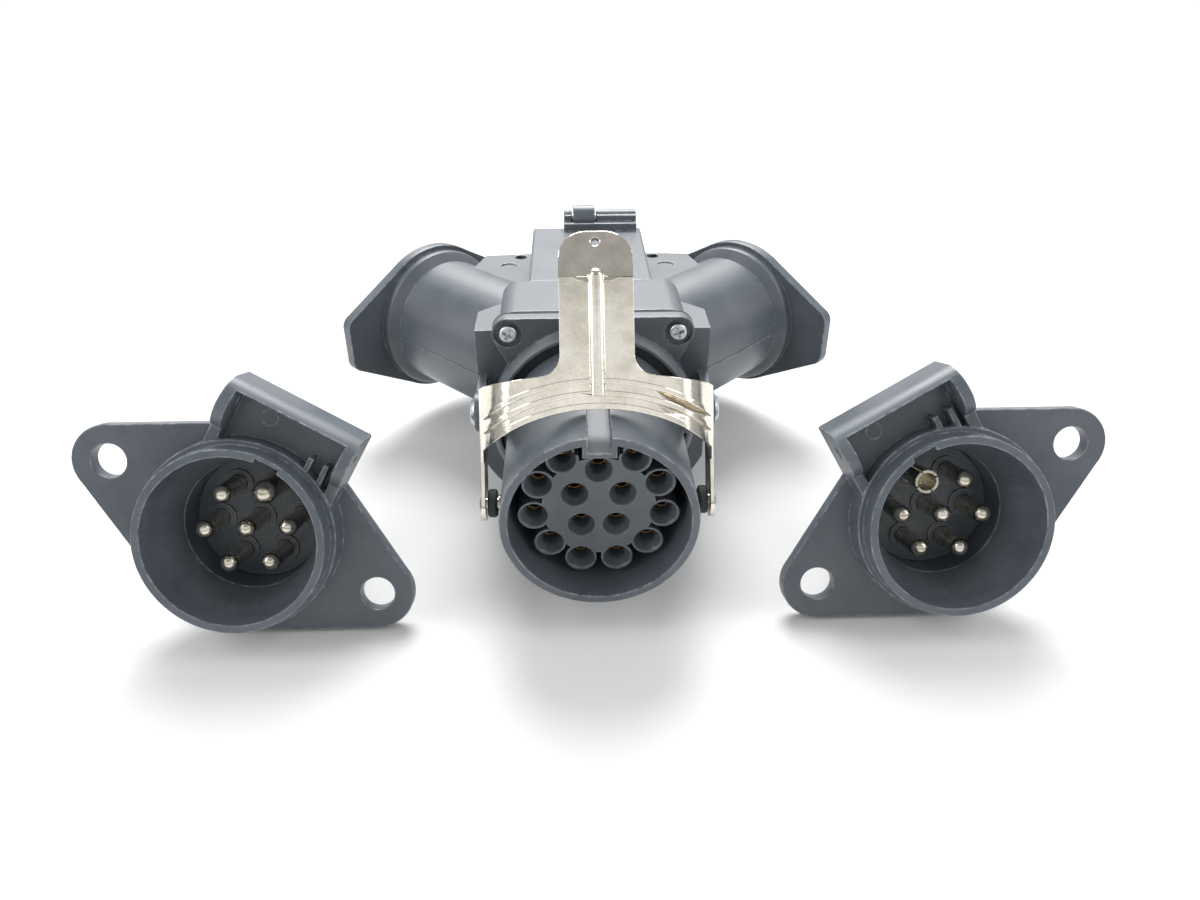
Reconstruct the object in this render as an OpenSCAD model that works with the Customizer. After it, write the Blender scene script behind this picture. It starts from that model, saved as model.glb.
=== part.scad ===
// Trailer wiring adapter: a fifteen-pole plug with a locking bail on a two-armed housing,
// with the two seven-pole outlet sockets taken off and laid on the table in front of it.
// Millimetres. X runs to the right, Y runs back from the plug rim, Z runs up from the table.

/* [Plug] */
// Outer radius of the plug barrel
plug_r = 25; // [22:0.5:28]
// Wall of the plug barrel
plug_wall = 2.2; // [1.6:0.1:3]
// Plug rim to the front of its flange
plug_len = 53; // [46:1:62]
// Thickness of the plug flange
flange_t = 4; // [3:0.5:6]
// Collar beyond the barrel
collar_out = 5.3; // [4:0.1:5.5]
// Width of the key groove along the top of the barrel
key_w = 5.6; // [4:0.2:7]
// Depth of the key groove
key_depth = 4.4; // [3:0.2:5]
// Upper flange screws above the top of the barrel
screw_over = 3; // [1:0.5:4]
// Upper flange screws in from the side of the barrel
screw_in = 1; // [0:0.5:4]
// Depth of the contact block below the rim
insert_recess = 8; // [5:0.5:12]
// Circle of outer contacts in from the bore of the barrel
ring_in = 6; // [5.6:0.1:7.3]
// Bore radius of the contact sleeves
contact_bore_r = 1.8; // [1.2:0.1:1.9]

/* [Housing] */
// Table to the underside of the barrel
foot_drop = 11; // [9:1:17]
// Front plate beyond the side lugs
plate_over = 0.6; // [0.2:0.2:4.6]
// Shoulders of the front plate above the top of the barrel
plate_rise = 2.3; // [0:0.1:5]
// Thickness of the front plate
plate_t = 14; // [10:1:16]
// Top deck above the top of the barrel
deck_rise = 8; // [7.8:0.2:11]
// Front box beyond the barrel
box_out = 2; // [1:0.5:5]
// Half width of the centre block
block_half = 19; // [17.8:0.2:20]
// Length of the front box from the plug flange
box_len = 24.2; // [22:0.2:30]
// Length of the centre block behind the front box
block_len = 52; // [46:1:58]
// Angle of each arm from the plug axis
arm_angle = 45; // [42:1:50]
// Outer radius of the arm tubes
arm_r = 22; // [21.5:0.5:25]
// Wall of the arm tubes
arm_wall = 2.5; // [2:0.1:3.5]
// Length of each arm from the junction to its flange
arm_len = 78; // [70:1:84]
// Place where the arm axes meet, ahead of the centre block
junction_fore = 3; // [-2:1:6]
// Half spacing of the two holes in the top web
web_hole_x = 24; // [23:0.5:28]
// Holes in the top web behind the centre block
web_hole_back = 4; // [2:0.5:5]
// Radius of the holes in the top web
web_hole_r = 2; // [1.5:0.1:2.2]

/* [Diamond flanges] */
// Round middle of the diamond flange beyond the socket barrel
dia_round_out = 4.45; // [2.25:0.05:6.25]
// Radius of the ears
dia_ear_r = 9.5; // [8:0.5:11]
// Ear holes beyond the socket barrel
dia_ear_out = 14.25; // [12.25:0.25:20.25]
// Radius of the ear holes
dia_hole_r = 4.4; // [3:0.1:5]
// Thickness of the diamond flanges
dia_t = 4; // [3:0.5:6]
// Round middle of the arm flange beyond the arm tube
arm_flange_out = 4.6; // [3.6:0.2:6]
// Blunt ears of the arm flange beyond the arm tube
arm_ear_out = 16.2; // [13:0.2:20]
// Half width of the blunt ears at their ends
arm_ear_half = 10.5; // [8:0.5:13]

/* [Locking bail] */
// Sheet thickness of the bail
bail_t = 1.5; // [1:0.1:2]
// Bail beyond the barrel on each side
bail_out = 5.5; // [5:0.1:5.6]
// Pivot ahead of the plug flange
pivot_fore = 11; // [10:0.5:13]
// Pivot below the top of the barrel
pivot_drop = 15.5; // [14:0.5:17]
// Lean of the bail at rest
bail_lean = 31; // [31:1:34]
// Pivot to the front of the yoke
yoke_reach = 34.8; // [33:0.2:36]
// Pivot to the top end of the handle tab
handle_top = 43.7; // [40:0.1:46]
// Width of the handle
handle_w = 18.3; // [15:0.1:20]
// Radius of the rollers
roller_r = 3.7; // [3:0.1:4]
// Roller below the pivot along the arm
roller_drop = 24.6; // [22:0.2:26]

/* [Rear lid] */
// Thickness of the lid plate
lid_t = 3.5; // [2.5:0.5:5]
// Radius of the lid knuckle
knuckle_r = 4.5; // [4:0.1:4.8]
// Radius of the lid hinge pin
lid_pin_r = 1.5; // [1.2:0.1:1.6]

/* [Clearances] */
// Side gap of the pieces that swing or roll
run_gap = 0.4; // [0.35:0.05:0.6]
// Gap round a socket's tail in its arm
tail_gap = 0.3; // [0.2:0.05:0.5]
// Radial gap round a pin that is pressed in
pin_fit = 0.02; // [0.01:0.01:0.05]
// Radial gap of the bail round its pivot pins
bail_fit = 0.07; // [0.03:0.01:0.1]
// Radial gap between seated round pieces
seat_fit = 0.05; // [0.02:0.01:0.1]
// Radius of the bail's pivot pins
pivot_pin_r = 2.5; // [2:0.1:3]

/* [Loose sockets] */
// Outer radius of the socket barrel
sock_r = 23.75; // [23:0.25:25]
// Wall of the socket barrel
sock_wall = 2.2; // [1.6:0.1:2.6]
// Socket rim to the front of its flange
sock_len = 13; // [11:0.5:18]
// Length of the tail that enters the arm
tail_len = 25; // [20:1:30]
// Hood above the socket barrel
hood_rise = 13.25; // [9.25:0.25:15.25]
// Half width of the hood
hood_half = 17.5; // [15:0.5:18]
// Radius of the circle of pins
pin_ring_r = 10.8; // [9:0.2:11.4]
// Radius of the small pins
pin_r = 2.4; // [1.5:0.1:2.6]
// Radius of the large pin and sleeve
feed_r = 3.1; // [2.3:0.1:3.4]
// Socket sideways place
sock_x = 92; // [88:1:110]
// Socket rim centre behind the plug rim
sock_y = 0.7; // [-5:0.1:8]

/* [Hidden] */
$fn = 96;
gasket_t = 0.8;
face_y = plug_len + flange_t + gasket_t;
bore_r = plug_r - plug_wall;
collar_r = plug_r + collar_out;
collar_in = plug_r + 2.8;
seal_r = collar_in - 0.1;
screw_up = plug_r + screw_over;
screw_side = plug_r - screw_in;
contact_ring_r = bore_r - ring_in;
axis_h = plug_r + foot_drop;
bail_half = plug_r + bail_out;
bail_in = bail_half - bail_t;
lug_in = bail_half + run_gap;
lug_out = lug_in + 2.5;
plate_half = lug_out + plate_over;
plate_up = plug_r + plate_rise;
deck_up = plug_r + deck_rise;
box_half = plug_r + box_out;
box_rear = face_y + box_len;
block_rear = box_rear + block_len;
junction_y = box_rear - junction_fore;
web_hole_y = block_rear + web_hole_back;
arm_flange_r = arm_r + arm_flange_out;
arm_ear_reach = arm_r + arm_ear_out;
dia_round_r = sock_r + dia_round_out;
dia_ear_x = sock_r + dia_ear_out;
hood_up = sock_r + hood_rise;
pivot_y = plug_len - pivot_fore;
pivot_up = plug_r - pivot_drop;
tail_r = arm_r - arm_wall - tail_gap;
dia_angle = asin((dia_round_r - dia_ear_r) / dia_ear_x);
sock_tilt = atan((dia_round_r - tail_r) / tail_len);
sock_up = dia_round_r * cos(sock_tilt) + (sock_len + dia_t) * sin(sock_tilt);
front_y = min(0, sock_y - sock_r * sin(sock_tilt));
arm_end = arm_len + dia_t;
arm_corner_r = 4.5;
arm_bore_r = arm_r - arm_wall;
arm_inner_r = arm_bore_r - 1;
seat_len = tail_len + 6;
rear_y = junction_y + arm_end * cos(arm_angle) + arm_ear_reach * sin(arm_angle);
mid_y = (front_y + rear_y) / 2;
floor_y = plug_len - 7;
sleeve_r = 2.6;
neck_r = contact_ring_r + sleeve_r + 0.8;
bend_r = 16.5;
roller_b = -(yoke_reach - 17.3);
arch_r = 48;
arch_u = (plug_r + 0.6 - pivot_up - (yoke_reach - bail_t) * sin(bail_lean)) / cos(bail_lean);
boss_out = bail_in - run_gap;
pin_in = plug_r - 0.4;
roll_out = bail_in - run_gap;
roll_in = roll_out - 2.4;
web_t = 2.6;
web_up = arm_r - 0.8 - web_t;
hinge_y = block_rear + 3;
hinge_up = deck_up + 2.6;
knuckle_l = -4.8;
knuckle_r_end = 2.9;
ear_l = -8.1;
barrel_end = 17.5;
seal_t = 1.2;
lid_y = block_rear + 0.3 + seal_t;
pin_floor = 26;
pin_tip = 11.5;
pin_end = 39;
tail_bore = tail_r - 1.9;
low_screw = [plug_r - 6.5, -plug_r - 1.5];
screw_spots = [[screw_side, screw_up], [-screw_side, screw_up], low_screw, [-low_screw[0], low_screw[1]]];
ring_angles = [for (k = [1:10]) k * 360 / 11];
inner_spots = [[6.1, 3.8], [-6.1, 3.8], [4.5, -5.6], [-4.5, -5.6]];
key_spot = [0, contact_ring_r - 5.8];

// Node to draw, or all

// Puts a piece drawn round the plug axis, rim at zero, in its place
module at_plug() {
    translate([0, -mid_y, axis_h]) children();
}

// Outline in X and Z drawn from y0 back over a length
module along_y(y0, len) {
    translate([0, y0 + len, 0]) rotate([90, 0, 0]) linear_extrude(len) children();
}

// Outline in Y and Z drawn from x0 over a length
module along_x(x0, len) {
    translate([x0, 0, 0]) rotate([90, 0, 90]) linear_extrude(len) children();
}

// Round bar along Y
module bar_y(r, y0, len) {
    translate([0, y0, 0]) rotate([-90, 0, 0]) cylinder(r = r, h = len);
}

// Cone along Y
module cone_y(r1, r2, y0, len) {
    translate([0, y0, 0]) rotate([-90, 0, 0]) cylinder(r1 = r1, r2 = r2, h = len);
}

// Round bar along X
module bar_x(r, x0, len) {
    translate([x0, 0, 0]) rotate([0, 90, 0]) cylinder(r = r, h = len);
}

// Diamond flange outline with its ears, without holes
module diamond_outline() {
    s = sin(dia_angle);
    c = cos(dia_angle);
    big = dia_round_r - 0.05;
    small = dia_ear_r - 0.05;
    circle(dia_round_r);
    for (k = [-1, 1]) translate([k * dia_ear_x, 0]) circle(dia_ear_r);
    polygon([
        [big * s, big * c], [dia_ear_x + small * s, small * c],
        [dia_ear_x + small * s, -small * c], [big * s, -big * c],
        [-big * s, -big * c], [-dia_ear_x - small * s, -small * c],
        [-dia_ear_x - small * s, small * c], [-big * s, big * c]]);
}

// Arm flange outline: round middle with a blunt ear on each side
module arm_flange_outline() {
    x = arm_ear_reach - arm_corner_r;
    y = arm_ear_half - arm_corner_r;
    a = atan(y / x) + acos((arm_flange_r - arm_corner_r) / norm([x, y]));
    big = arm_flange_r - 0.05;
    small = arm_corner_r - 0.05;
    tip = arm_ear_reach - 0.05;
    circle(arm_flange_r);
    for (k = [-1, 1]) {
        for (m = [-1, 1]) translate([k * x, m * y]) circle(arm_corner_r);
        polygon([
            [0, 0], [k * big * cos(a), big * sin(a)],
            [k * (x + small * cos(a)), y + small * sin(a)], [k * tip, y], [k * tip, -y],
            [k * (x + small * cos(a)), -y - small * sin(a)], [k * big * cos(a), -big * sin(a)]]);
    }
}

// Places an arm piece: its own Y axis runs out along the arm
module on_arm(side) {
    translate([0, junction_y, 0]) rotate([0, 0, -side * arm_angle]) children();
}

// Front plate outline: straight shoulders above, round below with a flat foot
module plate_outline() {
    r = axis_h + 1.5;
    translate([-plate_half, -8]) square([2 * plate_half, 8 + plate_up]);
    intersection() {
        circle(r);
        translate([-plate_half, -axis_h]) square([2 * plate_half, axis_h]);
    }
}

// Shoulders beside the box, deeper towards the middle
module plate_shoulders() {
    back = face_y + plate_t;
    deep = back + plate_half - box_half;
    translate([0, 0, -8]) linear_extrude(8 + plate_up) polygon([
        [-plate_half, face_y], [-plate_half, back], [-box_half, deep],
        [box_half, deep], [plate_half, back], [plate_half, face_y]]);
}

// Front box outline with rounded upper corners
module box_outline(half, top, low, r) {
    translate([-half, low]) square([2 * half, top - low - r]);
    translate([-half + r, low]) square([2 * half - 2 * r, top - low]);
    for (k = [-1, 1]) translate([k * (half - r), top - r]) circle(r);
}

// Side lug that carries the outer end of a bail pivot pin
module side_lug(side) {
    along_x(side > 0 ? lug_in : -lug_out, lug_out - lug_in) {
        translate([pivot_y, pivot_up]) circle(5.5);
        translate([pivot_y, pivot_up - 5.5]) square([face_y + 2 - pivot_y, 9.5]);
    }
}

// Cuts of the two arm bores through the walls of the housing
module arm_bores() {
    for (side = [-1, 1]) on_arm(side) bar_y(arm_inner_r, 4, arm_end);
}

// Outline of the foot under the housing
module foot_outline() {
    translate([-11, -axis_h]) square([22, 20]);
}

module housing() {
    color([0.09, 0.1, 0.11]) at_plug() difference() {
        union() {
            along_y(face_y, plate_t) plate_outline();
            plate_shoulders();
            along_y(face_y, box_rear - face_y) box_outline(box_half, deck_up, -22, 5);
            along_y(face_y, box_rear - face_y) foot_outline();
            for (side = [-1, 1]) side_lug(side);
        }
        bar_y(bore_r + 3.5, face_y - 1, 9);
        along_y(face_y + 6, box_rear - 3 - face_y - 6) box_outline(box_half - 3, deck_up - 3, -19, 3);
        along_y(box_rear - 4, 5) box_outline(block_half - 3, deck_up - 3, -19, 1);
        arm_bores();
        for (side = [-1, 1]) translate([side * lug_in - 5, pivot_y, pivot_up])
            bar_x(pivot_pin_r + pin_fit, 0, 12);
        for (s = screw_spots) translate([s[0], 0, s[1]]) bar_y(1.72, face_y - 1, 11);
    }
}

// Centre block between the arms, with the rear port and the ears of the lid hinge
module centre_block() {
    color([0.09, 0.1, 0.11]) at_plug() difference() {
        union() {
            along_y(box_rear, block_rear - box_rear) box_outline(block_half, deck_up, -24, 1);
            along_y(box_rear, block_len - 14) foot_outline();
            translate([0, hinge_y, hinge_up]) {
                bar_x(3, ear_l, barrel_end - ear_l);
                translate([ear_l, -6.5, -5.6]) cube([barrel_end - ear_l, 3.5, 5.6]);
                translate([ear_l, -3.5, -2]) cube([barrel_end - ear_l, 3, 4]);
            }
        }
        along_y(box_rear - 1, block_rear - box_rear - 1.5) box_outline(block_half - 3, deck_up - 3, -21, 1);
        along_y(block_rear - 4, 12) translate([-14, -19]) square([28, 44]);
        translate([-block_half - 1, block_rear, -30]) cube([2 * block_half + 2, 20, 30 + deck_up - 1.2]);
        arm_bores();
        translate([knuckle_l - run_gap, hinge_y, hinge_up])
            bar_x(knuckle_r + run_gap, 0, knuckle_r_end - knuckle_l + 2 * run_gap);
        translate([ear_l - 1, hinge_y, hinge_up]) bar_x(lid_pin_r + pin_fit, 0, barrel_end - ear_l + 2);
    }
}

// Arm tube with its blunt-eared flange and its half of the top web, cut flat where it meets the block
module arm(side) {
    at_plug() difference() {
        union() {
            on_arm(side) {
                bar_y(arm_r, 0, arm_len + 1);
                cone_y(arm_r, arm_r + 3, arm_len - 6, 3);
                bar_y(arm_r + 3, arm_len - 3, 4);
                along_y(arm_len, dia_t) arm_flange_outline();
            }
            mirror([side > 0 ? 0 : 1, 0, 0]) translate([0, 0, web_up]) linear_extrude(web_t)
                polygon([
                    [block_half - 1, web_hole_y - 42], [block_half - 1, web_hole_y + 4],
                    [block_half, web_hole_y + 4], [web_hole_x + 13, web_hole_y + 2],
                    [web_hole_x + 18, web_hole_y - 17], [block_half, web_hole_y - 42]]);
        }
        on_arm(side) {
            bar_y(arm_inner_r, 4, arm_end);
            bar_y(arm_bore_r, arm_end - seat_len, seat_len + 1);
        }
        translate([side * web_hole_x, web_hole_y, 0]) cylinder(r = web_hole_r, h = 40);
        translate([side * (web_hole_x + 4), web_hole_y - 9, web_up + web_t - 0.5]) cylinder(r = 2.6, h = 6);
        translate([-box_half, face_y - 1, -50]) cube([2 * box_half, box_rear - face_y + 1, 100]);
        along_y(face_y, plate_t) plate_outline();
        plate_shoulders();
        translate([-block_half, 60, -50]) cube([2 * block_half, 140, 100]);
    }
}

module left_arm() {
    color([0.09, 0.1, 0.11]) arm(-1);
}

module right_arm() {
    color([0.09, 0.1, 0.11]) arm(1);
}

// Plug flange outline, with its four screw ears
module plug_flange_outline() {
    union() {
        circle(collar_r);
        for (s = screw_spots) translate(s) circle(4.7);
        polygon([
            [-screw_side, screw_up + 4.7], [screw_side, screw_up + 4.7],
            [screw_side + 4.7, screw_up], [screw_side + 4.3, screw_up - 2],
            [plug_r - 1, plug_r - 7], [1 - plug_r, plug_r - 7],
            [-screw_side - 4.3, screw_up - 2], [-screw_side - 4.7, screw_up]]);
        polygon([
            [low_screw[0] + 3, low_screw[1] + 10], [low_screw[0] + 4, low_screw[1] - 2.4],
            [low_screw[0], low_screw[1] - 4.7], [-low_screw[0], low_screw[1] - 4.7],
            [-low_screw[0] - 4, low_screw[1] - 2.4], [-low_screw[0] - 3, low_screw[1] + 10]]);
    }
}

module plug_shell() {
    color([0.1, 0.11, 0.12]) at_plug() difference() {
        union() {
            bar_y(plug_r, 0, face_y + 5);
            for (side = [-1, 1]) translate([0, pivot_y, pivot_up])
                bar_x(7, side > 0 ? 14 : -boss_out, boss_out - 14);
            bar_y(bore_r + 3.2, plug_len + flange_t, gasket_t + 7);
        }
        difference() {
            bar_y(bore_r, -1, floor_y + 1);
            translate([-key_w / 2 - 1.4, -2, bore_r - key_depth + 0.8]) cube([key_w + 2.8, floor_y + 3, 10]);
        }
        bar_y(neck_r + 0.3, floor_y - 1, 8);
        bar_y(bore_r, floor_y + 4, 30);
        translate([-key_w / 2, -1, plug_r - key_depth]) cube([key_w, floor_y - 6, 10]);
        for (side = [-1, 1]) translate([0, pivot_y, pivot_up])
            bar_x(pivot_pin_r + pin_fit, side > 0 ? pin_in : -boss_out - 1, boss_out + 1 - pin_in);
    }
}

// Flange with the collar and the four screw ears, clamped behind the barrel's step
module plug_flange() {
    color([0.1, 0.11, 0.12]) at_plug() difference() {
        union() {
            along_y(plug_len, flange_t) plug_flange_outline();
            rotate([90, 0, 0]) rotate_extrude() polygon([
                [collar_in, -plug_len - 1], [collar_in, -plug_len + 3], [collar_in + 0.9, -plug_len + 3],
                [collar_r, -plug_len + 0.5], [collar_r, -plug_len - 1]]);
        }
        bar_y(plug_r + seat_fit, plug_len - 1, flange_t + 2);
        for (s = screw_spots) translate([s[0], 0, s[1]]) {
            bar_y(2.1, plug_len - 1, 9);
            bar_y(3.9, plug_len - 1, 2.2);
        }
    }
}

module flange_gasket() {
    color([0.05, 0.05, 0.05]) at_plug() difference() {
        union() {
            bar_y(collar_r, plug_len + flange_t, gasket_t);
            along_y(plug_len + flange_t, gasket_t) plug_flange_outline();
        }
        bar_y(bore_r + 3.4, plug_len, 10);
        for (s = screw_spots) translate([s[0], 0, s[1]]) bar_y(2.2, plug_len, 10);
    }
}

module front_seal() {
    color([0.04, 0.04, 0.04]) at_plug() difference() {
        bar_y(seal_r, plug_len - 1.8, 1.8);
        bar_y(plug_r + seat_fit, plug_len - 3, 5);
    }
}

module flange_screws() {
    color([0.75, 0.75, 0.73]) at_plug() for (s = screw_spots) translate([s[0], 0, s[1]]) difference() {
        union() {
            bar_y(1.7, plug_len + 1, 13);
            bar_y(2.5, plug_len - 0.4, 1.6);
        }
        for (a = [45, 135]) rotate([0, a, 0]) translate([-1.6, plug_len - 1.1, -0.35]) cube([3.2, 1.7, 0.7]);
    }
}

// Places its children at every contact spot of a list
module at_spots(list) {
    for (s = list) translate([s[0], 0, s[1]]) children();
}

ring_spots = [for (a = ring_angles) [contact_ring_r * sin(a), contact_ring_r * cos(a)]];
all_spots = concat(ring_spots, inner_spots, [key_spot]);

module contact_insert() {
    color([0.12, 0.13, 0.14]) at_plug() difference() {
        union() {
            bar_y(contact_ring_r - 2.2, insert_recess, floor_y - insert_recess);
            at_spots(ring_spots) bar_y(4.2, insert_recess, floor_y - insert_recess);
            at_spots([key_spot]) bar_y(4.2, insert_recess, floor_y - insert_recess);
            bar_y(neck_r, floor_y - 6, 16);
        }
        translate([-6, insert_recess - 1, bore_r - key_depth - 2.8])
            cube([12, floor_y - insert_recess + 1, 12]);
        at_spots(all_spots) {
            cone_y(3.7, 2.1, insert_recess - 0.3, 2.9);
            bar_y(2.1, insert_recess, 8);
            bar_y(sleeve_r + 0.03, insert_recess + 6, 60);
        }
    }
}

module insert_retainer() {
    color([0.75, 0.75, 0.73]) at_plug() difference() {
        bar_y(bore_r - 0.4, floor_y + 4, 2);
        bar_y(neck_r + seat_fit, floor_y, 10);
    }
}

// One contact sleeve: slotted mouth in front, wire cup behind
module contact_sleeve() {
    difference() {
        bar_y(sleeve_r, insert_recess + 6.2, floor_y + 10 - insert_recess);
        bar_y(contact_bore_r, insert_recess, 24);
        bar_y(1.5, floor_y + 6, 20);
    }
}

module outer_contacts() {
    color([0.8, 0.65, 0.35]) at_plug() at_spots(ring_spots) contact_sleeve();
}

module key_contact() {
    color([0.8, 0.65, 0.35]) at_plug() at_spots([key_spot]) contact_sleeve();
}

module inner_contacts() {
    color([0.8, 0.65, 0.35]) at_plug() at_spots(inner_spots) contact_sleeve();
}

// Puts a bail piece, drawn with its pivot at the origin and upright, in its place
module at_bail() {
    at_plug() translate([0, pivot_y, pivot_up]) rotate([-bail_lean, 0, 0]) children();
}

// Filled plan outline of the bail, grown by a margin
module bail_plan(grow) {
    c = bail_half - bend_r;
    translate([-bail_half - grow, -yoke_reach + bend_r])
        square([2 * bail_half + 2 * grow, yoke_reach - bend_r + 8]);
    translate([-c, -yoke_reach - grow]) square([2 * c, yoke_reach]);
    for (k = [-1, 1]) translate([k * c, -yoke_reach + bend_r]) circle(bend_r + grow);
}

// Front outline of the yoke, the handle and the two arms
module bail_front() {
    difference() {
        polygon([
            [-bail_half - 1, -14], [bail_half + 1, -14], [bail_half + 1, 5], [13, 7],
            [handle_w / 2, 7], [-handle_w / 2, 7], [-13, 7], [-bail_half - 1, 5]]);
        translate([0, arch_u - arch_r]) circle(arch_r);
    }
    translate([-handle_w / 2, 4]) square([handle_w, 27]);
    for (k = [-1, 1]) {
        difference() {
            translate([k > 0 ? handle_w / 2 - 1 : -handle_w / 2 - 4.8, 6]) square([5.8, 5.8]);
            translate([k * (handle_w / 2 + 5), 12]) circle(5);
        }
        translate([k > 0 ? bail_in - 0.1 : -bail_half - 1, -40]) square([bail_t + 1.1, 42]);
    }
}

// Side outline of the bail: cheeks to the pivot, arms down to the rollers
module bail_side() {
    translate([-yoke_reach - 2, -7]) square([yoke_reach - 16.5, 50]);
    translate([-yoke_reach - 2, -14]) square([yoke_reach - 11, 12]);
    translate([roller_b, -6.5]) square([-roller_b, 11.5]);
    circle(6.5);
    translate([roller_b - 4.5, -roller_drop]) square([9, roller_drop - 2]);
    translate([roller_b, -roller_drop]) circle(4.5);
}

// Ring band centred on the arch, used for the lip and the pressed ridges
module arch_band(r, w, half) {
    intersection() {
        translate([0, arch_u - arch_r]) difference() {
            circle(r + w);
            circle(r);
        }
        translate([-half, -20]) square([2 * half, 40]);
    }
}

module bail() {
    color([0.8, 0.78, 0.72]) at_bail() difference() {
        union() {
            intersection() {
                translate([0, 0, -45]) linear_extrude(90) difference() {
                    bail_plan(0);
                    bail_plan(-bail_t);
                    translate([-50, 7]) square([100, 10]);
                }
                along_y(-60, 90) bail_front();
                along_x(-40, 80) bail_side();
            }
            intersection() {
                translate([0, 0, -45]) linear_extrude(90) difference() {
                    bail_plan(1.2);
                    bail_plan(-0.8);
                }
                along_y(-yoke_reach - 2, 15) arch_band(arch_r, bail_t, bail_half - 9);
            }
            for (r = [3.2, 6.2]) intersection() {
                translate([0, 0, -45]) linear_extrude(90) difference() {
                    bail_plan(0.7);
                    bail_plan(-0.4);
                }
                along_y(-yoke_reach - 2, 15) arch_band(arch_r + r, 1.3, bail_half - 1.9);
            }
            intersection() {
                translate([0, -yoke_reach + 0.9, 2]) union() {
                    cylinder(r = 2.2, h = 29);
                    translate([0, 0, 29]) sphere(2.2);
                }
                translate([-5, -yoke_reach - 5, -5]) cube([10, 4.9 + bail_t, 45]);
            }
            translate([0, -yoke_reach, 30.9]) rotate([-18, 0, 0]) along_y(0, bail_t) {
                translate([-handle_w / 2, -0.2]) square([handle_w, handle_top - 30.9 - 7]);
                translate([-handle_w / 2 + 7, 0]) square([handle_w - 14, handle_top - 31]);
                for (k = [-1, 1]) translate([k * (handle_w / 2 - 7), handle_top - 38]) circle(7);
            }
        }
        translate([0, -yoke_reach, 30.9]) rotate([-18, 0, 0])
            translate([0, 0, handle_top - 34]) bar_y(1.1, -2, 6);
        bar_x(pivot_pin_r + bail_fit, -40, 80);
        translate([0, roller_b, -roller_drop]) bar_x(1.62, -40, 80);
        translate([0, -yoke_reach + bail_t, 3]) cylinder(r = 1.3, h = 27);
    }
}

// Pivot pin of the bail: pressed in the lug and the barrel boss, round head outside
module pivot_pin(side) {
    at_plug() translate([0, pivot_y, pivot_up]) mirror([side > 0 ? 0 : 1, 0, 0]) {
        bar_x(pivot_pin_r, pin_in + 0.2, lug_out - pin_in);
        translate([lug_out, 0, 0]) rotate([0, 90, 0]) cylinder(r1 = 4.2, r2 = 3.2, h = 1.2);
    }
}

module left_pivot_pin() {
    color([0.7, 0.7, 0.68]) pivot_pin(-1);
}

module right_pivot_pin() {
    color([0.7, 0.7, 0.68]) pivot_pin(1);
}

module roller(side) {
    at_bail() translate([0, roller_b, -roller_drop]) mirror([side > 0 ? 0 : 1, 0, 0]) difference() {
        union() {
            bar_x(roller_r, roll_in + 0.4, roll_out - roll_in - 0.8);
            translate([roll_in, 0, 0]) rotate([0, 90, 0])
                cylinder(r1 = roller_r - 0.4, r2 = roller_r, h = 0.4);
            translate([roll_out - 0.4, 0, 0]) rotate([0, 90, 0])
                cylinder(r1 = roller_r, r2 = roller_r - 0.4, h = 0.4);
        }
        bar_x(1.68, 0, 40);
    }
}

module left_roller() {
    color([0.03, 0.03, 0.03]) roller(-1);
}

module right_roller() {
    color([0.03, 0.03, 0.03]) roller(1);
}

module roller_rivet(side) {
    at_bail() translate([0, roller_b, -roller_drop]) mirror([side > 0 ? 0 : 1, 0, 0]) {
        bar_x(1.6, roll_in - 0.8, bail_half - roll_in + 1);
        bar_x(2.2, roll_in - 0.8, 0.5);
        translate([bail_half, 0, 0]) rotate([0, 90, 0]) cylinder(r1 = 2.7, r2 = 1.9, h = 0.35);
    }
}

module left_roller_rivet() {
    color([0.8, 0.78, 0.72]) roller_rivet(-1);
}

module right_roller_rivet() {
    color([0.8, 0.78, 0.72]) roller_rivet(1);
}

module rear_lid() {
    color([0.09, 0.1, 0.11]) at_plug() difference() {
        union() {
            along_y(lid_y, lid_t) box_outline(block_half - 1.2, deck_up - 1.6, -22.5, 1);
            translate([knuckle_l, hinge_y, hinge_up]) bar_x(knuckle_r, 0, knuckle_r_end - knuckle_l);
            translate([knuckle_l, lid_y, deck_up - 8]) cube([knuckle_r_end - knuckle_l, lid_t, 10]);
        }
        translate([knuckle_l - 1, hinge_y, hinge_up]) bar_x(lid_pin_r + 0.06, 0, 20);
    }
}

module lid_seal() {
    color([0.04, 0.04, 0.04]) at_plug() along_y(lid_y - seal_t, seal_t) difference() {
        translate([-16.5, -21.5]) square([33, 49]);
        translate([-14.3, -19.3]) square([28.6, 44.6]);
    }
}

module lid_hinge_pin() {
    color([0.7, 0.7, 0.68]) at_plug() translate([ear_l, hinge_y, hinge_up])
        bar_x(lid_pin_r, 0, barrel_end - ear_l);
}

// Puts a loose socket, drawn along its own axis with the rim at zero, on the table
module at_socket(side) {
    translate([side * sock_x, sock_y - mid_y, sock_up]) rotate([-sock_tilt, 0, 0])
        rotate([0, -side * dia_angle, 0]) children();
}

// Hinge hood on top of a socket
module hood() {
    difference() {
        intersection() {
            along_y(0, sock_len + dia_t) translate([-hood_half, 0]) square([2 * hood_half, hood_up]);
            along_x(-hood_half, 2 * hood_half) {
                translate([6, 12]) square([sock_len + dia_t - 6, hood_up - 19]);
                translate([8.5, 12]) square([sock_len + dia_t - 8.5, hood_up - 12]);
                translate([8.5, hood_up - 7]) circle(7);
            }
        }
        translate([-hood_half + 3, -1, 10]) cube([2 * hood_half - 6, sock_len - 1.5, hood_up - 12.4]);
        translate([-hood_half - 1, 7.5, hood_up - 6]) bar_x(1.7, 0, 2 * hood_half + 2);
    }
    for (x = [7.2, 11.4]) translate([x, 6, sock_r - 3]) cube([1.5, sock_len - 6, 6.5]);
}

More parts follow.
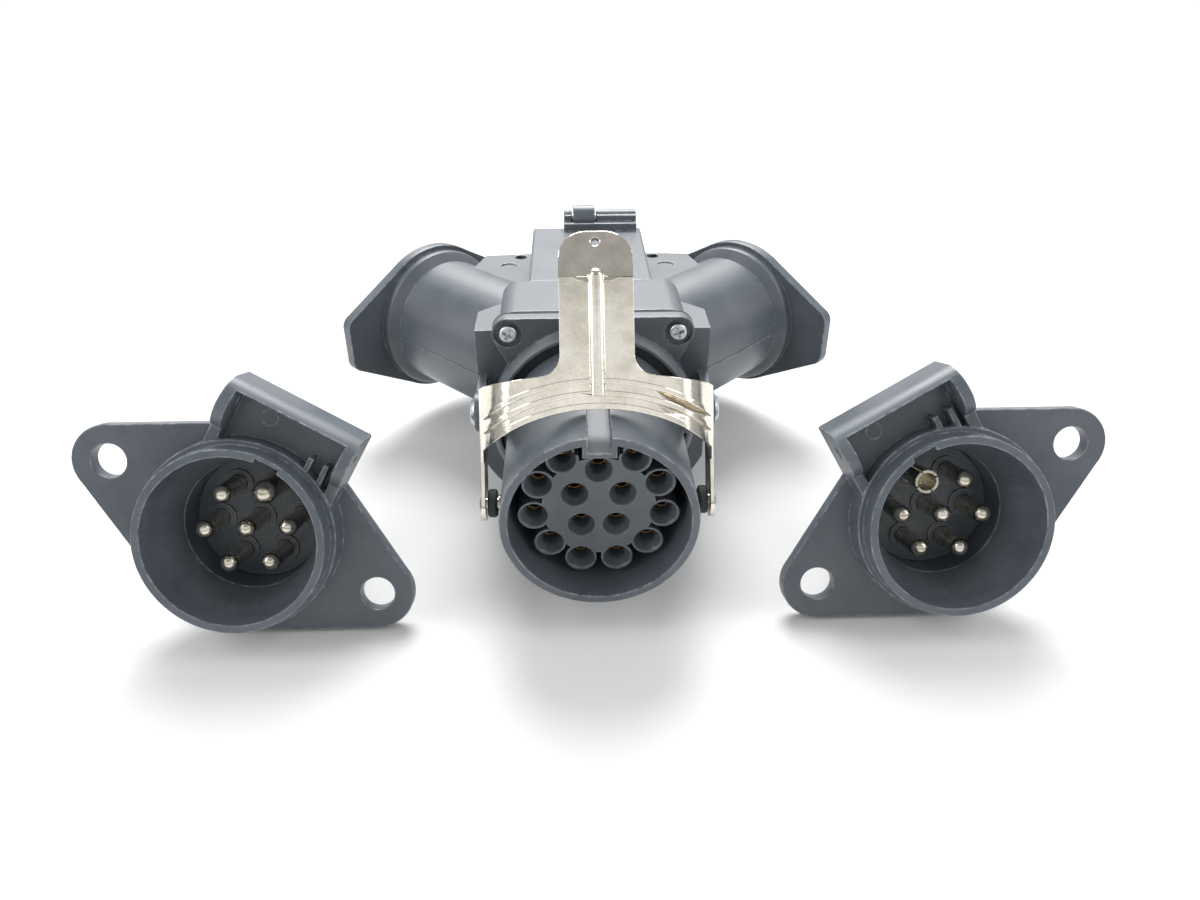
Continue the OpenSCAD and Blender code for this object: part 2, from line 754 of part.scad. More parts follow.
module socket_shell() {
    difference() {
        union() {
            bar_y(sock_r, 0, sock_len + 1);
            bar_y(sock_r + 1.4, 5.5, sock_len - 5);
            along_y(sock_len, dia_t) diamond_outline();
            hood();
        }
        rotate([90, 0, 0]) rotate_extrude() polygon([
            [0, 1], [sock_r - sock_wall, 1], [sock_r - sock_wall, -6],
            [tail_bore, -sock_len - dia_t], [tail_bore, -80], [0, -80]]);
        translate([-3, -1, sock_r - sock_wall - 2]) cube([6, sock_len, 2.9]);
        for (k = [-1, 1]) translate([k * dia_ear_x, 0, 0]) bar_y(dia_hole_r, sock_len - 1, 10);
    }
}

// Tail tube behind the socket flange
module socket_tail() {
    difference() {
        bar_y(tail_r, sock_len + dia_t, tail_len);
        bar_y(tail_bore, 0, 80);
    }
}

pin_angles = [60, 120, 180, 240, 300];
pin_spots = concat([[0, 0]], [for (a = pin_angles) [pin_ring_r * sin(a), pin_ring_r * cos(a)]]);
feed_spot = [0, pin_ring_r];

module pin_block() {
    difference() {
        union() {
            bar_y(tail_bore - seat_fit, pin_floor, 8);
            at_spots(pin_spots) bar_y(pin_r + 1.6, pin_floor - 0.8, 2);
            at_spots([feed_spot]) bar_y(feed_r + 1.6, pin_floor - 0.8, 2);
        }
        at_spots(pin_spots) bar_y(pin_r + pin_fit, 0, 60);
        at_spots([feed_spot]) bar_y(feed_r + pin_fit, 0, 60);
    }
}

// Contact pin with a domed tip and a wire cup behind the block
module pin(r) {
    difference() {
        union() {
            bar_y(r, pin_tip + r, pin_end - pin_tip - r);
            translate([0, pin_tip + r, 0]) sphere(r);
        }
        bar_y(r * 0.6, pin_end - 4, 20);
    }
}

module left_socket_shell() {
    color([0.1, 0.11, 0.12]) at_socket(-1) socket_shell();
}

module left_tail() {
    color([0.1, 0.11, 0.12]) at_socket(-1) socket_tail();
}

module left_pin_block() {
    color([0.06, 0.06, 0.07]) at_socket(-1) pin_block();
}

module left_pins() {
    color([0.78, 0.76, 0.72]) at_socket(-1) at_spots(pin_spots) pin(pin_r);
}

module left_feed_pin() {
    color([0.78, 0.76, 0.72]) at_socket(-1) at_spots([feed_spot]) pin(feed_r);
}

module right_socket_shell() {
    color([0.1, 0.11, 0.12]) at_socket(1) socket_shell();
}

module right_tail() {
    color([0.1, 0.11, 0.12]) at_socket(1) socket_tail();
}

module right_pin_block() {
    color([0.06, 0.06, 0.07]) at_socket(1) pin_block();
}

module right_pins() {
    color([0.78, 0.76, 0.72]) at_socket(1) at_spots(pin_spots) pin(pin_r);
}

module right_feed_sleeve() {
    color([0.78, 0.76, 0.72]) at_socket(1) at_spots([feed_spot]) difference() {
        bar_y(feed_r, pin_tip, pin_end - pin_tip);
        bar_y(feed_r - 0.7, pin_tip - 1, 13);
        for (a = [0, 90]) rotate([0, a, 0]) translate([-4, pin_tip - 1, -0.2]) cube([8, 9, 0.4]);
        bar_y(1.7, pin_end - 4, 20);
    }
}

housing();
centre_block();
left_arm();
right_arm();
plug_shell();
plug_flange();
flange_gasket();
front_seal();
flange_screws();
contact_insert();
insert_retainer();
outer_contacts();
key_contact();
inner_contacts();
bail();
left_pivot_pin();
right_pivot_pin();
left_roller();
right_roller();
left_roller_rivet();
right_roller_rivet();
rear_lid();
lid_seal();
lid_hinge_pin();
left_socket_shell();
left_tail();
left_pin_block();
left_pins();
left_feed_pin();
right_socket_shell();
right_tail();
right_pin_block();
right_pins();
right_feed_sleeve();
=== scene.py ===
# Looks of the trailer wiring connector: a fifteen-pole plug with a locking bail on a forked
# housing, and two loose seven-pole sockets lying in front of it.
import math
import bmesh
import bpy
from mathutils import Matrix, Vector


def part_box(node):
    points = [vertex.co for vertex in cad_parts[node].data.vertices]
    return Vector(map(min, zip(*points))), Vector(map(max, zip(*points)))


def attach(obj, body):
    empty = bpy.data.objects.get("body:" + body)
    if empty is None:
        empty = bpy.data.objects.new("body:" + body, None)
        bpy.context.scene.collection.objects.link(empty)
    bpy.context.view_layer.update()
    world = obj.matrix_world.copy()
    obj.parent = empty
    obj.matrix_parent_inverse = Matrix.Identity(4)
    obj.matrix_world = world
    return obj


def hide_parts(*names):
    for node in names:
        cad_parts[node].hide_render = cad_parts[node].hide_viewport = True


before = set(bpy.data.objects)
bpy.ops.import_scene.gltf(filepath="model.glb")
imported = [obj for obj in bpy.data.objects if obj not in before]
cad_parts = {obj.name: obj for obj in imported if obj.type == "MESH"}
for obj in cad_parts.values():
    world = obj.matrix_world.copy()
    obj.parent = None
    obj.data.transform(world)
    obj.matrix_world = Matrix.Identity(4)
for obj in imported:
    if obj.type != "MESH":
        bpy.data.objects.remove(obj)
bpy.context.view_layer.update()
MM = 0.001
QUARTER_TURN = math.pi / 2
HALF_TURN = math.pi

# Places of the CAD model, in millimetres and radians
MID_Y = -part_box("plug_shell")[0].y / MM
AXIS_UP = 36.0
PLUG_LEN = 53.0
SCREW_SPOTS = ((24.0, 28.0), (-24.0, 28.0), (18.5, -26.5), (-18.5, -26.5))
ARM_ANGLE = math.radians(45)
ARM_R = 22.0
JUNCTION_Y = 79.0
SOCKET_X, SOCKET_Y, SOCKET_UP = 92.0, 0.7, 32.291
SOCKET_TILT = math.radians(19.8)
SOCKET_TURN = math.radians(29.48)
HOOD_WALL_Y = 10.5

# Copied CAD shapes: points this close are one, and edges bent this much are flat, curved or corners
MERGE_MM = 0.004
FLAT_DEGREES = 0.4
CURVE_DEGREES = 32
CORNER_DEGREES = 38

# The pressed ridges of the bail's sheet keep their edges crisp
BAIL_ROUND = 0.18
BAIL_CURVE_DEGREES = 20

# Cross-head screws, in millimetres from the seat of the head
HEAD_R, HEAD_TALL = 2.5, 1.6
HEAD_RIM = 0.7
HEAD_ROUND = 0.45
CROSS_BLADE = (3.2, 0.75, 2.0)
WELL_R, WELL_FLOOR, WELL_TOP = 0.8, 0.25, 3.0
RECESS_ROUND = 0.08
SHANK_R, SHANK_LEN, SHANK_BITE = 1.7, 12.8, 0.05
SHANK_ROUND = 0.3
# The seats lie this far behind the flange's front, and each screw stopped at its own turn
SEAT_DEPTH = 1.2
SCREW_TURNS = (0.35, 1.1, 0.8, 0.15)

# Parting ridges: square bars sunk in the arms, so that a quarter of a millimetre stands proud
RIDGE_WIDE, RIDGE_LEN, RIDGE_MID = 0.5, 44.0, 50.0
RIDGE_SHIFT = 0.02
RIDGE_ROUND = 0.16

# Ejector marks: a low rim round a sunk disc, on the back wall of each hood
MARK_R, MARK_TALL, MARK_RIM, MARK_SUNK = 2.3, 0.12, 0.35, 0.08
MARK_ROUND = 0.03
MARK_X, MARK_UP = -6.3, 30.4

# Room light: grey levels by height on the camera's side, and one level behind the object
FRONT_LEVELS = ((0.0, 0.3), (0.25, 0.66), (0.56, 1.0), (0.66, 0.75), (0.72, 0.36), (0.95, 0.42))
BACK_LEVEL = 0.44
ROOM_STRENGTH = 1.15
SUN_POWER, SUN_SPREAD = 3.5, math.radians(35)

# Floor, in metres
FLOOR_SIZE = 14

# Camera of the photograph: eye in the plug's axes, line of sight, lens, sensor, and clip in metres
EYE = (-6.30, -180.51, 131.02)
SIGHT = (0.0299, 0.8551, -0.5177)
LENS_MM, SENSOR_MM = 27.0, 36.0
NEAR_CLIP = 0.01


def at_plug(x, y, z):
    """Point of the plug's own axes, rim at zero, in the frame's metres."""
    return Vector((x, y - MID_Y, z + AXIS_UP)) * MM


def turned(angle, axis):
    return Matrix.Rotation(angle, 4, axis)


# Modelling helpers


def pick(obj):
    """Leaves this object alone selected and active."""
    bpy.ops.object.select_all(action="DESELECT")
    obj.select_set(True)
    bpy.context.view_layer.objects.active = obj


def apply_modifier(obj, kind, **settings):
    modifier = obj.modifiers.new(kind.lower(), kind)
    for key, value in settings.items():
        setattr(modifier, key, value)
    pick(obj)
    bpy.ops.object.modifier_apply(modifier=modifier.name)


def settle(obj):
    """Puts the object's place, turn and size into its mesh."""
    pick(obj)
    bpy.ops.object.transform_apply(location=True, rotation=True, scale=True)


def smooth(obj, curve=CURVE_DEGREES):
    """Soft shading on curves that bend less than this, with flats kept flat next to them."""
    pick(obj)
    bpy.ops.object.shade_smooth_by_angle(angle=math.radians(curve))
    apply_modifier(obj, "WEIGHTED_NORMAL", mode="FACE_AREA", weight=80, keep_sharp=True)


def mark_corners(obj):
    """Marks the outward corners of a mesh, which are the edges to round."""
    mesh = bmesh.new()
    mesh.from_mesh(obj.data)
    weight = mesh.edges.layers.float.new("bevel_weight_edge")
    for edge in mesh.edges:
        bent = edge.calc_face_angle(0) > math.radians(CORNER_DEGREES)
        edge[weight] = float(edge.is_convex and bent)
    mesh.to_mesh(obj.data)
    mesh.free()


def moulded_copy(node, round_mm, curve=CURVE_DEGREES):
    """Copy of a CAD node with its triangles joined and its sharp edges rounded."""
    piece = bpy.data.objects.new("moulded_" + node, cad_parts[node].data.copy())
    bpy.context.scene.collection.objects.link(piece)
    pick(piece)
    bpy.ops.object.mode_set(mode="EDIT")
    bpy.ops.mesh.select_all(action="SELECT")
    bpy.ops.mesh.customdata_custom_splitnormals_clear()
    bpy.ops.mesh.remove_doubles(threshold=MERGE_MM * MM)
    bpy.ops.mesh.dissolve_limited(angle_limit=math.radians(FLAT_DEGREES))
    bpy.ops.object.mode_set(mode="OBJECT")
    mark_corners(piece)
    apply_modifier(piece, "BEVEL", width=round_mm * MM, segments=2, limit_method="WEIGHT",
                   use_clamp_overlap=False, miter_outer="MITER_ARC", loop_slide=False)
    smooth(piece, curve)
    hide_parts(node)
    return piece


def block(size, place, turn=0.0):
    """Block of a size in millimetres."""
    bpy.ops.object.select_all(action="DESELECT")
    bpy.ops.mesh.primitive_cube_add(size=MM, location=Vector(place) * MM, rotation=(0, 0, turn))
    cube = bpy.context.active_object
    cube.scale = size
    settle(cube)
    return cube


def rod(radius, low, high, sides):
    """Upright rod between two heights in millimetres."""
    bpy.ops.object.select_all(action="DESELECT")
    bpy.ops.mesh.primitive_cylinder_add(vertices=sides, radius=radius * MM, depth=(high - low) * MM,
                                        location=(0, 0, (low + high) / 2 * MM))
    bar = bpy.context.active_object
    settle(bar)
    return bar


def round_edges(obj, width, segments, sharper_than=30):
    """Rounds the edges that bend more than this many degrees."""
    apply_modifier(obj, "BEVEL", width=width * MM, segments=segments, limit_method="ANGLE",
                   angle_limit=math.radians(sharper_than))


def cut(obj, tool):
    """Takes the tool's shape out of the object, and the tool out of the scene."""
    apply_modifier(obj, "BOOLEAN", object=tool, operation="DIFFERENCE", solver="EXACT")
    drop(tool)


def inset_top(obj, rim):
    """Draws a rim on the top face and leaves the face inside it selected, in edit mode."""
    pick(obj)
    bpy.ops.object.mode_set(mode="EDIT")
    bpy.ops.mesh.select_mode(type="FACE")
    bpy.ops.mesh.select_all(action="DESELECT")
    bpy.ops.object.mode_set(mode="OBJECT")
    for face in obj.data.polygons:
        face.select = face.normal.z > 0.9
    bpy.ops.object.mode_set(mode="EDIT")
    bpy.ops.mesh.inset(thickness=rim * MM)


def joined(pieces, name):
    bpy.ops.object.select_all(action="DESELECT")
    for piece in pieces:
        piece.select_set(True)
    bpy.context.view_layer.objects.active = pieces[0]
    bpy.ops.object.join()
    pieces[0].name = name
    return pieces[0]


def copied(piece, matrix):
    """Copy of a finished piece, moved by a matrix that is put into its mesh."""
    twin = piece.copy()
    twin.data = piece.data.copy()
    bpy.context.scene.collection.objects.link(twin)
    twin.matrix_world = matrix
    settle(twin)
    return twin


def drop(piece):
    bpy.data.objects.remove(piece, do_unlink=True)


# Materials


def colour(text):
    """Linear colour of an sRGB hex value."""
    parts = [int(text[i:i + 2], 16) / 255 for i in (1, 3, 5)]
    return [c / 12.92 if c <= 0.04045 else ((c + 0.055) / 1.055) ** 2.4 for c in parts] + [1.0]


def grey(level):
    return (level, level, level, 1.0)


def per(mm):
    """Texture scale whose cells are about this many millimetres wide."""
    return 1000.0 / mm


def add(tree, kind, inputs=None, stops=(), **settings):
    """Adds a node with its settings, colour stops, values and links."""
    node = tree.nodes.new(kind)
    for key, value in settings.items():
        setattr(node, key, value)
    if stops:
        marks = node.color_ramp.elements
        while len(marks) < len(stops):
            marks.new(0.5)
        for mark, (place, shade) in zip(marks, stops):
            mark.position = place
            mark.color = shade
    for key, value in (inputs or {}).items():
        if isinstance(value, bpy.types.NodeSocket):
            tree.links.new(value, node.inputs[key])
        else:
            node.inputs[key].default_value = value
    return node


def new_material(name):
    material = bpy.data.materials.new(name)
    material.use_nodes = True
    tree = material.node_tree
    shader = tree.nodes["Principled BSDF"]
    place = add(tree, "ShaderNodeTexCoord").outputs["Object"]
    return material, tree, shader, place


def moulded_plastic(name, deep, pale, edge, rough, grain_mm):
    """Glass-filled nylon from a fine-eroded mould: satin, faintly mottled, with pale edges that are
    partly rubbed wear and partly painted highlight.
    """
    material, tree, shader, place = new_material(name)
    # The melt's flow leaves clouds about 14 mm wide
    cloud = add(tree, "ShaderNodeTexNoise", {"Vector": place, "Scale": per(14), "Detail": 5.0,
                                             "Roughness": 0.6}).outputs["Fac"]
    body = add(tree, "ShaderNodeValToRGB", {"Fac": cloud},
               ((0.3, colour(deep)), (0.72, colour(pale)))).outputs["Color"]
    # Edges are painted pale grey, partly as wear from the bench and partly as painted highlight: found
    # where a rounded normal leaves the flat one
    rounded = add(tree, "ShaderNodeBevel", {"Radius": 0.7 * MM}, samples=4).outputs["Normal"]
    flat = add(tree, "ShaderNodeNewGeometry").outputs["Normal"]
    agree = add(tree, "ShaderNodeVectorMath", {0: rounded, 1: flat},
                operation="DOT_PRODUCT").outputs["Value"]
    edge_wear_and_sheen = add(tree, "ShaderNodeMapRange", {"Value": agree, "From Min": 0.985, "From Max": 0.86,
                                           "To Min": 0.0, "To Max": 1.0}).outputs["Result"]
    # The pale edge wear and painted highlight come and go every 2 mm or so
    patch = add(tree, "ShaderNodeTexNoise", {"Vector": place, "Scale": per(2.2), "Detail": 6.0,
                                             "Roughness": 0.7}).outputs["Fac"]
    patch = add(tree, "ShaderNodeValToRGB", {"Fac": patch},
                ((0.42, grey(0)), (0.62, grey(1)))).outputs["Color"]
    wear_and_painted_highlight = add(tree, "ShaderNodeMath", {0: edge_wear_and_sheen, 1: patch}, operation="MULTIPLY").outputs["Value"]
    wear_and_painted_highlight = add(tree, "ShaderNodeMath", {0: wear_and_painted_highlight, 1: 0.85}, operation="MULTIPLY").outputs["Value"]
    body = add(tree, "ShaderNodeMix", {"Factor": wear_and_painted_highlight, "A": body, "B": colour(edge)},
               data_type="RGBA").outputs["Result"]
    # Sparse dust specks, a third of a millimetre wide and about 3 mm apart
    dots = add(tree, "ShaderNodeTexVoronoi", {"Vector": place, "Scale": per(3.1)}).outputs["Distance"]
    dust = add(tree, "ShaderNodeValToRGB", {"Fac": dots},
               ((0.02, grey(0.4)), (0.05, grey(0)))).outputs["Color"]
    body = add(tree, "ShaderNodeMix", {"Factor": dust, "A": body, "B": colour("#8a8d8f")},
               data_type="RGBA").outputs["Result"]
    tree.links.new(body, shader.inputs["Base Color"])
    gloss = add(tree, "ShaderNodeValToRGB", {"Fac": cloud},
                ((0.3, grey(rough - 0.05)), (0.75, grey(rough + 0.07)))).outputs["Color"]
    tree.links.new(gloss, shader.inputs["Roughness"])
    shader.inputs["IOR"].default_value = 1.53
    # The eroded grain is drawn coarser than real, so that it shows
    grain = add(tree, "ShaderNodeTexNoise", {"Vector": place, "Scale": per(grain_mm), "Detail": 3.0,
                                             "Roughness": 0.55}).outputs["Fac"]
    bump = add(tree, "ShaderNodeBump", {"Height": grain, "Strength": 0.22, "Distance": 0.05 * MM})
    tree.links.new(bump.outputs["Normal"], shader.inputs["Normal"])
    return material


def plated_metal(name, pale, dull, rough, speck_mm):
    """Bright plating over pressed steel: warm mirror with fine scratches and pinhole specks."""
    material, tree, shader, place = new_material(name)
    shader.inputs["Metallic"].default_value = 1.0
    # Stains about 7 mm wide, and pinholes
    cloud = add(tree, "ShaderNodeTexNoise", {"Vector": place, "Scale": per(7), "Detail": 6.0,
                                             "Roughness": 0.65}).outputs["Fac"]
    body = add(tree, "ShaderNodeValToRGB", {"Fac": cloud},
               ((0.35, colour(dull)), (0.62, colour(pale)))).outputs["Color"]
    pits = add(tree, "ShaderNodeTexVoronoi", {"Vector": place, "Scale": per(speck_mm)})
    pits = add(tree, "ShaderNodeValToRGB", {"Fac": pits.outputs["Distance"]},
               ((0.06, grey(0.4)), (0.14, grey(0)))).outputs["Color"]
    body = add(tree, "ShaderNodeMix", {"Factor": pits, "A": body, "B": colour("#5d564a")},
               data_type="RGBA").outputs["Result"]
    tree.links.new(body, shader.inputs["Base Color"])
    # Long scratches, drawn 0.7 mm wide, coarser than real, so that they show
    slanted = add(tree, "ShaderNodeMapping", {"Vector": place, "Rotation": (0, 0, 0.35),
                                              "Scale": (1.0, 0.06, 1.0)}).outputs["Vector"]
    lines = add(tree, "ShaderNodeTexNoise", {"Vector": slanted, "Scale": per(0.7), "Detail": 4.0,
                                             "Roughness": 0.7}).outputs["Fac"]
    gloss = add(tree, "ShaderNodeValToRGB", {"Fac": lines},
                ((0.35, grey(rough - 0.06)), (0.7, grey(rough + 0.12)))).outputs["Color"]
    tree.links.new(gloss, shader.inputs["Roughness"])
    # The press leaves the sheet wavy, about 9 mm from crest to crest
    wave = add(tree, "ShaderNodeTexNoise", {"Vector": place, "Scale": per(9), "Detail": 3.0})
    both = add(tree, "ShaderNodeMath", {0: lines, 1: 0.18, 2: wave.outputs["Fac"]},
               operation="MULTIPLY_ADD").outputs["Value"]
    bump = add(tree, "ShaderNodeBump", {"Height": both, "Strength": 0.6, "Distance": 0.12 * MM})
    tree.links.new(bump.outputs["Normal"], shader.inputs["Normal"])
    return material


def turned_metal(name, pale, dull, rough):
    """Drawn or turned brass and zinc-plated steel: bright, with tool marks and a faint stain."""
    material, tree, shader, place = new_material(name)
    shader.inputs["Metallic"].default_value = 1.0
    # Stains about 2.5 mm wide
    cloud = add(tree, "ShaderNodeTexNoise", {"Vector": place, "Scale": per(2.5), "Detail": 5.0})
    body = add(tree, "ShaderNodeValToRGB", {"Fac": cloud.outputs["Fac"]},
               ((0.35, colour(dull)), (0.65, colour(pale)))).outputs["Color"]
    tree.links.new(body, shader.inputs["Base Color"])
    gloss = add(tree, "ShaderNodeValToRGB", {"Fac": cloud.outputs["Fac"]},
                ((0.3, grey(rough - 0.05)), (0.7, grey(rough + 0.1)))).outputs["Color"]
    tree.links.new(gloss, shader.inputs["Roughness"])
    # Tool marks drawn at a quarter of a millimetre, coarser than real, so that they show
    marks = add(tree, "ShaderNodeTexNoise", {"Vector": place, "Scale": per(0.25), "Detail": 2.0})
    bump = add(tree, "ShaderNodeBump", {"Height": marks.outputs["Fac"], "Strength": 0.15,
                                        "Distance": 0.03 * MM})
    tree.links.new(bump.outputs["Normal"], shader.inputs["Normal"])
    return material


def soft_rubber(name):
    """Moulded EPDM rubber: matt, slightly bloomed."""
    material, tree, shader, place = new_material(name)
    # Bloom in spots about 3 mm wide
    cloud = add(tree, "ShaderNodeTexNoise", {"Vector": place, "Scale": per(3), "Detail": 5.0})
    body = add(tree, "ShaderNodeValToRGB", {"Fac": cloud.outputs["Fac"]},
               ((0.3, colour("#1f2123")), (0.75, colour("#303336")))).outputs["Color"]
    tree.links.new(body, shader.inputs["Base Color"])
    gloss = add(tree, "ShaderNodeValToRGB", {"Fac": cloud.outputs["Fac"]},
                ((0.3, grey(0.62)), (0.7, grey(0.78)))).outputs["Color"]
    tree.links.new(gloss, shader.inputs["Roughness"])
    bump = add(tree, "ShaderNodeBump", {"Height": cloud.outputs["Fac"], "Strength": 0.2,
                                        "Distance": 0.06 * MM})
    tree.links.new(bump.outputs["Normal"], shader.inputs["Normal"])
    return material


def white_paper(name):
    """Matt paper sweep: an even white, faintly clouded."""
    material, tree, shader, place = new_material(name)
    # Fibre clouds about 60 mm wide
    cloud = add(tree, "ShaderNodeTexNoise", {"Vector": place, "Scale": per(60), "Detail": 3.0})
    body = add(tree, "ShaderNodeValToRGB", {"Fac": cloud.outputs["Fac"]},
               ((0.3, colour("#d6d6d6")), (0.7, colour("#dadada")))).outputs["Color"]
    tree.links.new(body, shader.inputs["Base Color"])
    shader.inputs["Roughness"].default_value = 0.9
    return material


# Each plastic's edge colour is the pale grey of its edges, partly rubbed wear and partly painted
# highlight
FINISHES = {
    "black_plastic": moulded_plastic("satin black nylon", deep="#484f56", pale="#565d64",
                                     edge="#b8bdc1", rough=0.36, grain_mm=0.5),
    "insert_plastic": moulded_plastic("dark grey nylon insert", deep="#454b51", pale="#545b61",
                                      edge="#9fa5a9", rough=0.2, grain_mm=0.4),
    "nickel_plate": plated_metal("nickel plated steel", pale="#e2ddd2", dull="#cbc5b8", rough=0.11,
                                 speck_mm=1.3),
    "zinc_steel": turned_metal("bright zinc plated steel", pale="#e6e8ea", dull="#bfc3c6", rough=0.28),
    "brass": turned_metal("drawn brass", pale="#e2c48e", dull="#b08c55", rough=0.25),
    "plated_brass": turned_metal("nickel plated brass", pale="#ded9cd", dull="#bdb6a6", rough=0.2),
    "rubber": soft_rubber("black EPDM rubber"),
}


def dress(piece, slot, body):
    """Gives a piece the finish of its slot and the body that it moves with."""
    piece.data.materials.clear()
    piece.data.materials.append(FINISHES[slot])
    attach(piece, body)


# CAD shapes with rounded edges: node, rounding in millimetres, slot and body

ROUNDED = (
    ("housing", 0.35, "black_plastic", "adapter"),
    ("centre_block", 0.5, "black_plastic", "adapter"),
    ("left_arm", 0.5, "black_plastic", "adapter"),
    ("right_arm", 0.5, "black_plastic", "adapter"),
    ("plug_shell", 0.4, "black_plastic", "adapter"),
    ("plug_flange", 0.3, "black_plastic", "adapter"),
    ("contact_insert", 0.25, "insert_plastic", "adapter"),
    ("rear_lid", 0.5, "black_plastic", "lid"),
    ("left_socket_shell", 0.45, "black_plastic", "left_socket"),
    ("right_socket_shell", 0.45, "black_plastic", "right_socket"),
    ("left_tail", 0.4, "black_plastic", "left_socket"),
    ("right_tail", 0.4, "black_plastic", "right_socket"),
    ("left_pin_block", 0.25, "insert_plastic", "left_socket"),
    ("right_pin_block", 0.25, "insert_plastic", "right_socket"),
    ("left_pins", 0.15, "plated_brass", "left_socket"),
    ("right_pins", 0.15, "plated_brass", "right_socket"),
    ("left_feed_pin", 0.15, "plated_brass", "left_socket"),
    ("right_feed_sleeve", 0.08, "plated_brass", "right_socket"),
    ("outer_contacts", 0.12, "brass", "adapter"),
    ("key_contact", 0.12, "brass", "adapter"),
    ("inner_contacts", 0.12, "brass", "adapter"),
    ("insert_retainer", 0.2, "zinc_steel", "adapter"),
    ("left_pivot_pin", 0.2, "zinc_steel", "adapter"),
    ("right_pivot_pin", 0.2, "zinc_steel", "adapter"),
    ("lid_hinge_pin", 0.2, "zinc_steel", "adapter"),
    ("left_roller_rivet", 0.15, "nickel_plate", "bail"),
    ("right_roller_rivet", 0.15, "nickel_plate", "bail"),
    ("left_roller", 0.2, "rubber", "left_roller"),
    ("right_roller", 0.2, "rubber", "right_roller"),
    ("flange_gasket", 0.15, "rubber", "adapter"),
    ("front_seal", 0.25, "rubber", "adapter"),
    ("lid_seal", 0.25, "rubber", "lid"),
)
for node, round_mm, slot, body in ROUNDED:
    dress(moulded_copy(node, round_mm), slot, body)
dress(moulded_copy("bail", BAIL_ROUND, BAIL_CURVE_DEGREES), "nickel_plate", "bail")

# Flange screws: one cheese head with a cross recess, copied to the four ears


def cross_head_screw():
    """Upright screw, with the seat of its head at zero."""
    head = rod(HEAD_R, 0.0, HEAD_TALL, sides=48)
    inset_top(head, HEAD_RIM)
    bpy.ops.object.mode_set(mode="OBJECT")
    round_edges(head, HEAD_ROUND, segments=4, sharper_than=60)
    for turn in (0.0, QUARTER_TURN):
        cut(head, block(CROSS_BLADE, (0, 0, HEAD_TALL), turn))
    cut(head, rod(WELL_R, WELL_FLOOR, WELL_TOP, sides=24))
    round_edges(head, RECESS_ROUND, segments=2, sharper_than=50)
    shank = rod(SHANK_R, -SHANK_LEN, SHANK_BITE, sides=32)
    round_edges(shank, SHANK_ROUND, segments=2, sharper_than=50)
    screw = joined([head, shank], "screw_pattern")
    smooth(screw)
    return screw


pattern = cross_head_screw()
screws = []
for (x, z), turn in zip(SCREW_SPOTS, SCREW_TURNS):
    ear = Matrix.Translation(at_plug(x, PLUG_LEN + SEAT_DEPTH, z))
    screws.append(copied(pattern, ear @ turned(QUARTER_TURN, "X") @ turned(turn, "Z")))
drop(pattern)
screws = joined(screws, "cross_head_screws")
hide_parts("flange_screws")
dress(screws, "zinc_steel", "adapter")

# Mould parting ridges along both sides of the arms

ridge = block((RIDGE_WIDE, RIDGE_LEN, RIDGE_WIDE), (ARM_R + RIDGE_SHIFT, RIDGE_MID, 0))
round_edges(ridge, RIDGE_ROUND, segments=3)
smooth(ridge)
ridges = []
for side in (-1, 1):
    arm = Matrix.Translation(at_plug(0, JUNCTION_Y, 0)) @ turned(-side * ARM_ANGLE, "Z")
    for turn in (0.0, HALF_TURN):
        ridges.append(copied(ridge, arm @ turned(turn, "Y")))
drop(ridge)
ridges = joined(ridges, "arm_parting_ridges")
dress(ridges, "black_plastic", "adapter")

# Ejector marks inside the hoods of the sockets

ejector_mark = rod(MARK_R, 0.0, MARK_TALL, sides=40)
inset_top(ejector_mark, MARK_RIM)
bpy.ops.transform.translate(value=(0, 0, -MARK_SUNK * MM))
bpy.ops.object.mode_set(mode="OBJECT")
round_edges(ejector_mark, MARK_ROUND, segments=2)
smooth(ejector_mark)
for side, body in ((-1, "left_socket"), (1, "right_socket")):
    socket = Matrix.Translation(Vector((side * SOCKET_X, SOCKET_Y - MID_Y, SOCKET_UP)) * MM)
    socket = socket @ turned(-SOCKET_TILT, "X") @ turned(-side * SOCKET_TURN, "Y")
    wall = Matrix.Translation(Vector((MARK_X, HOOD_WALL_Y, MARK_UP)) * MM)
    twin = copied(ejector_mark, socket @ wall @ turned(QUARTER_TURN, "X"))
    twin.name = body + "_ejector_mark"
    dress(twin, "black_plastic", body)
drop(ejector_mark)

# Floor

bpy.ops.object.select_all(action="DESELECT")
bpy.ops.mesh.primitive_plane_add(size=FLOOR_SIZE)
floor = bpy.context.active_object
floor.name = "studio_floor"
floor.data.materials.append(white_paper("white paper sweep"))

# Room: the camera's side is brightest half way up, and the back is an even grey

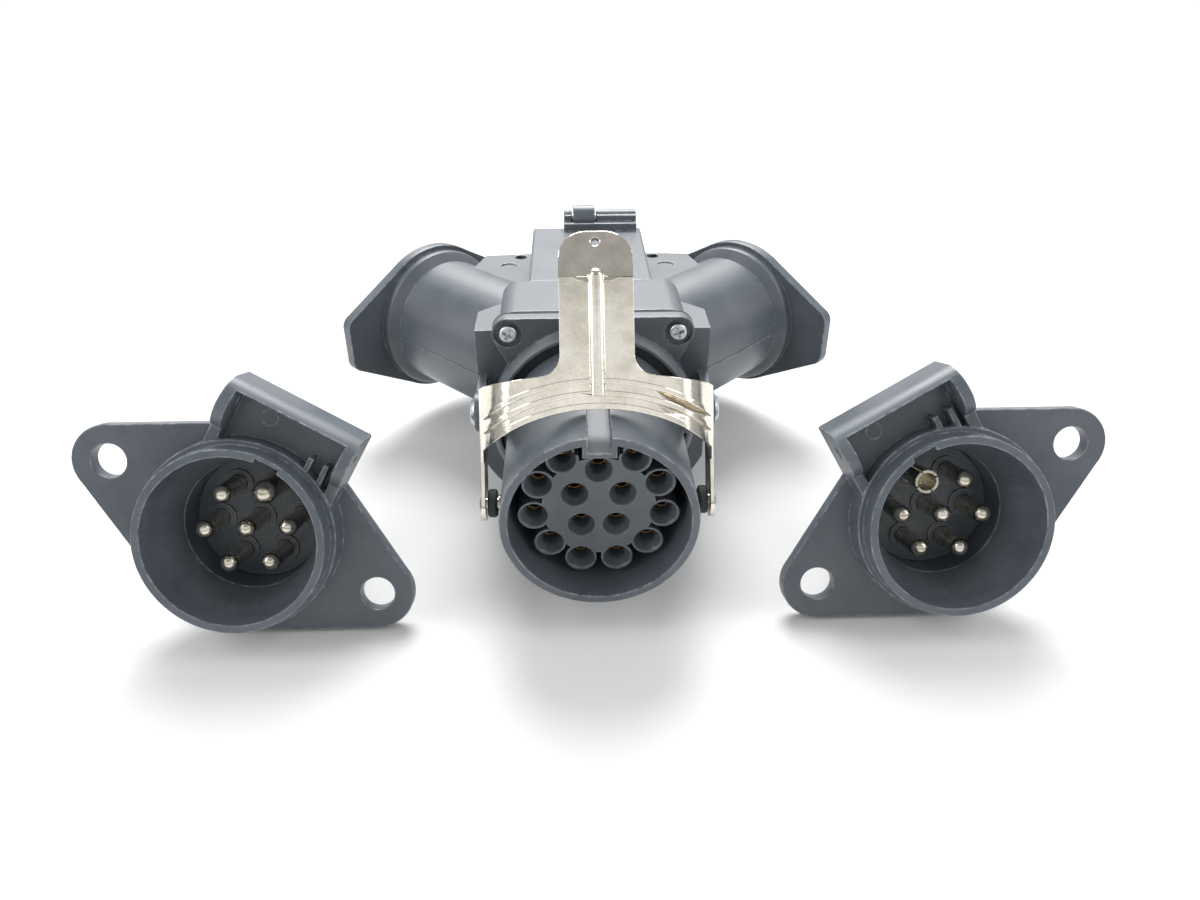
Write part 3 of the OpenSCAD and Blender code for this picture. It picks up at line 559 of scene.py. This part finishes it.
world = bpy.data.worlds.new("soft white room")
bpy.context.scene.world = world
world.use_nodes = True
room = world.node_tree
background = room.nodes["Background"]
direction = add(room, "ShaderNodeTexCoord").outputs["Generated"]
parts = add(room, "ShaderNodeSeparateXYZ", {"Vector": direction})
front = add(room, "ShaderNodeValToRGB", {"Fac": parts.outputs["Z"]},
            [(height, grey(level)) for height, level in FRONT_LEVELS]).outputs["Color"]
behind = add(room, "ShaderNodeMapRange", {"Value": parts.outputs["Y"], "From Min": -0.3, "From Max": 0.6,
                                          "To Min": 0.0, "To Max": 1.0}).outputs["Result"]
walls = add(room, "ShaderNodeMix", {"Factor": behind, "A": front, "B": grey(BACK_LEVEL)},
            data_type="RGBA").outputs["Result"]
room.links.new(walls, background.inputs["Color"])
background.inputs["Strength"].default_value = ROOM_STRENGTH

# Lamps, with places in metres, and the camera


def stand(name, data, place, sight):
    """Lamp or camera at a place, looking along a line of sight."""
    holder = bpy.data.objects.new(name, data)
    bpy.context.scene.collection.objects.link(holder)
    holder.location = place
    holder.rotation_euler = Vector(sight).to_track_quat("-Z", "Y").to_euler()
    return holder


def softbox(name, place, target, size, power):
    lamp = bpy.data.lights.new(name, "AREA")
    lamp.shape = "RECTANGLE"
    lamp.size, lamp.size_y = size
    lamp.energy = power
    stand(name, lamp, place, Vector(target) - Vector(place))


softbox("back_softbox", place=(0.0, 1.0, 0.7), target=(0, 0, 0), size=(1.7, 0.8), power=7.0)
softbox("left_softbox", place=(-0.9, -0.2, 0.7), target=(0, 0, 0.03), size=(0.5, 0.9), power=6.0)
softbox("right_softbox", place=(0.9, -0.2, 0.7), target=(0, 0, 0.03), size=(0.5, 0.9), power=5.0)

# Wide glow from above and behind, which draws the shadows towards the camera
sun = bpy.data.lights.new("ceiling_glow", "SUN")
sun.energy = SUN_POWER
sun.angle = SUN_SPREAD
stand("ceiling_glow", sun, place=(0, 0, 0), sight=(0, -0.8, -1.0))

lens = bpy.data.cameras.new("photo_camera")
lens.sensor_width = SENSOR_MM
lens.lens = LENS_MM
lens.clip_start = NEAR_CLIP
bpy.context.scene.camera = stand("photo_camera", lens, at_plug(*EYE), SIGHT)
bpy.context.scene.view_settings.view_transform = "Standard"

bpy.context.view_layer.update()
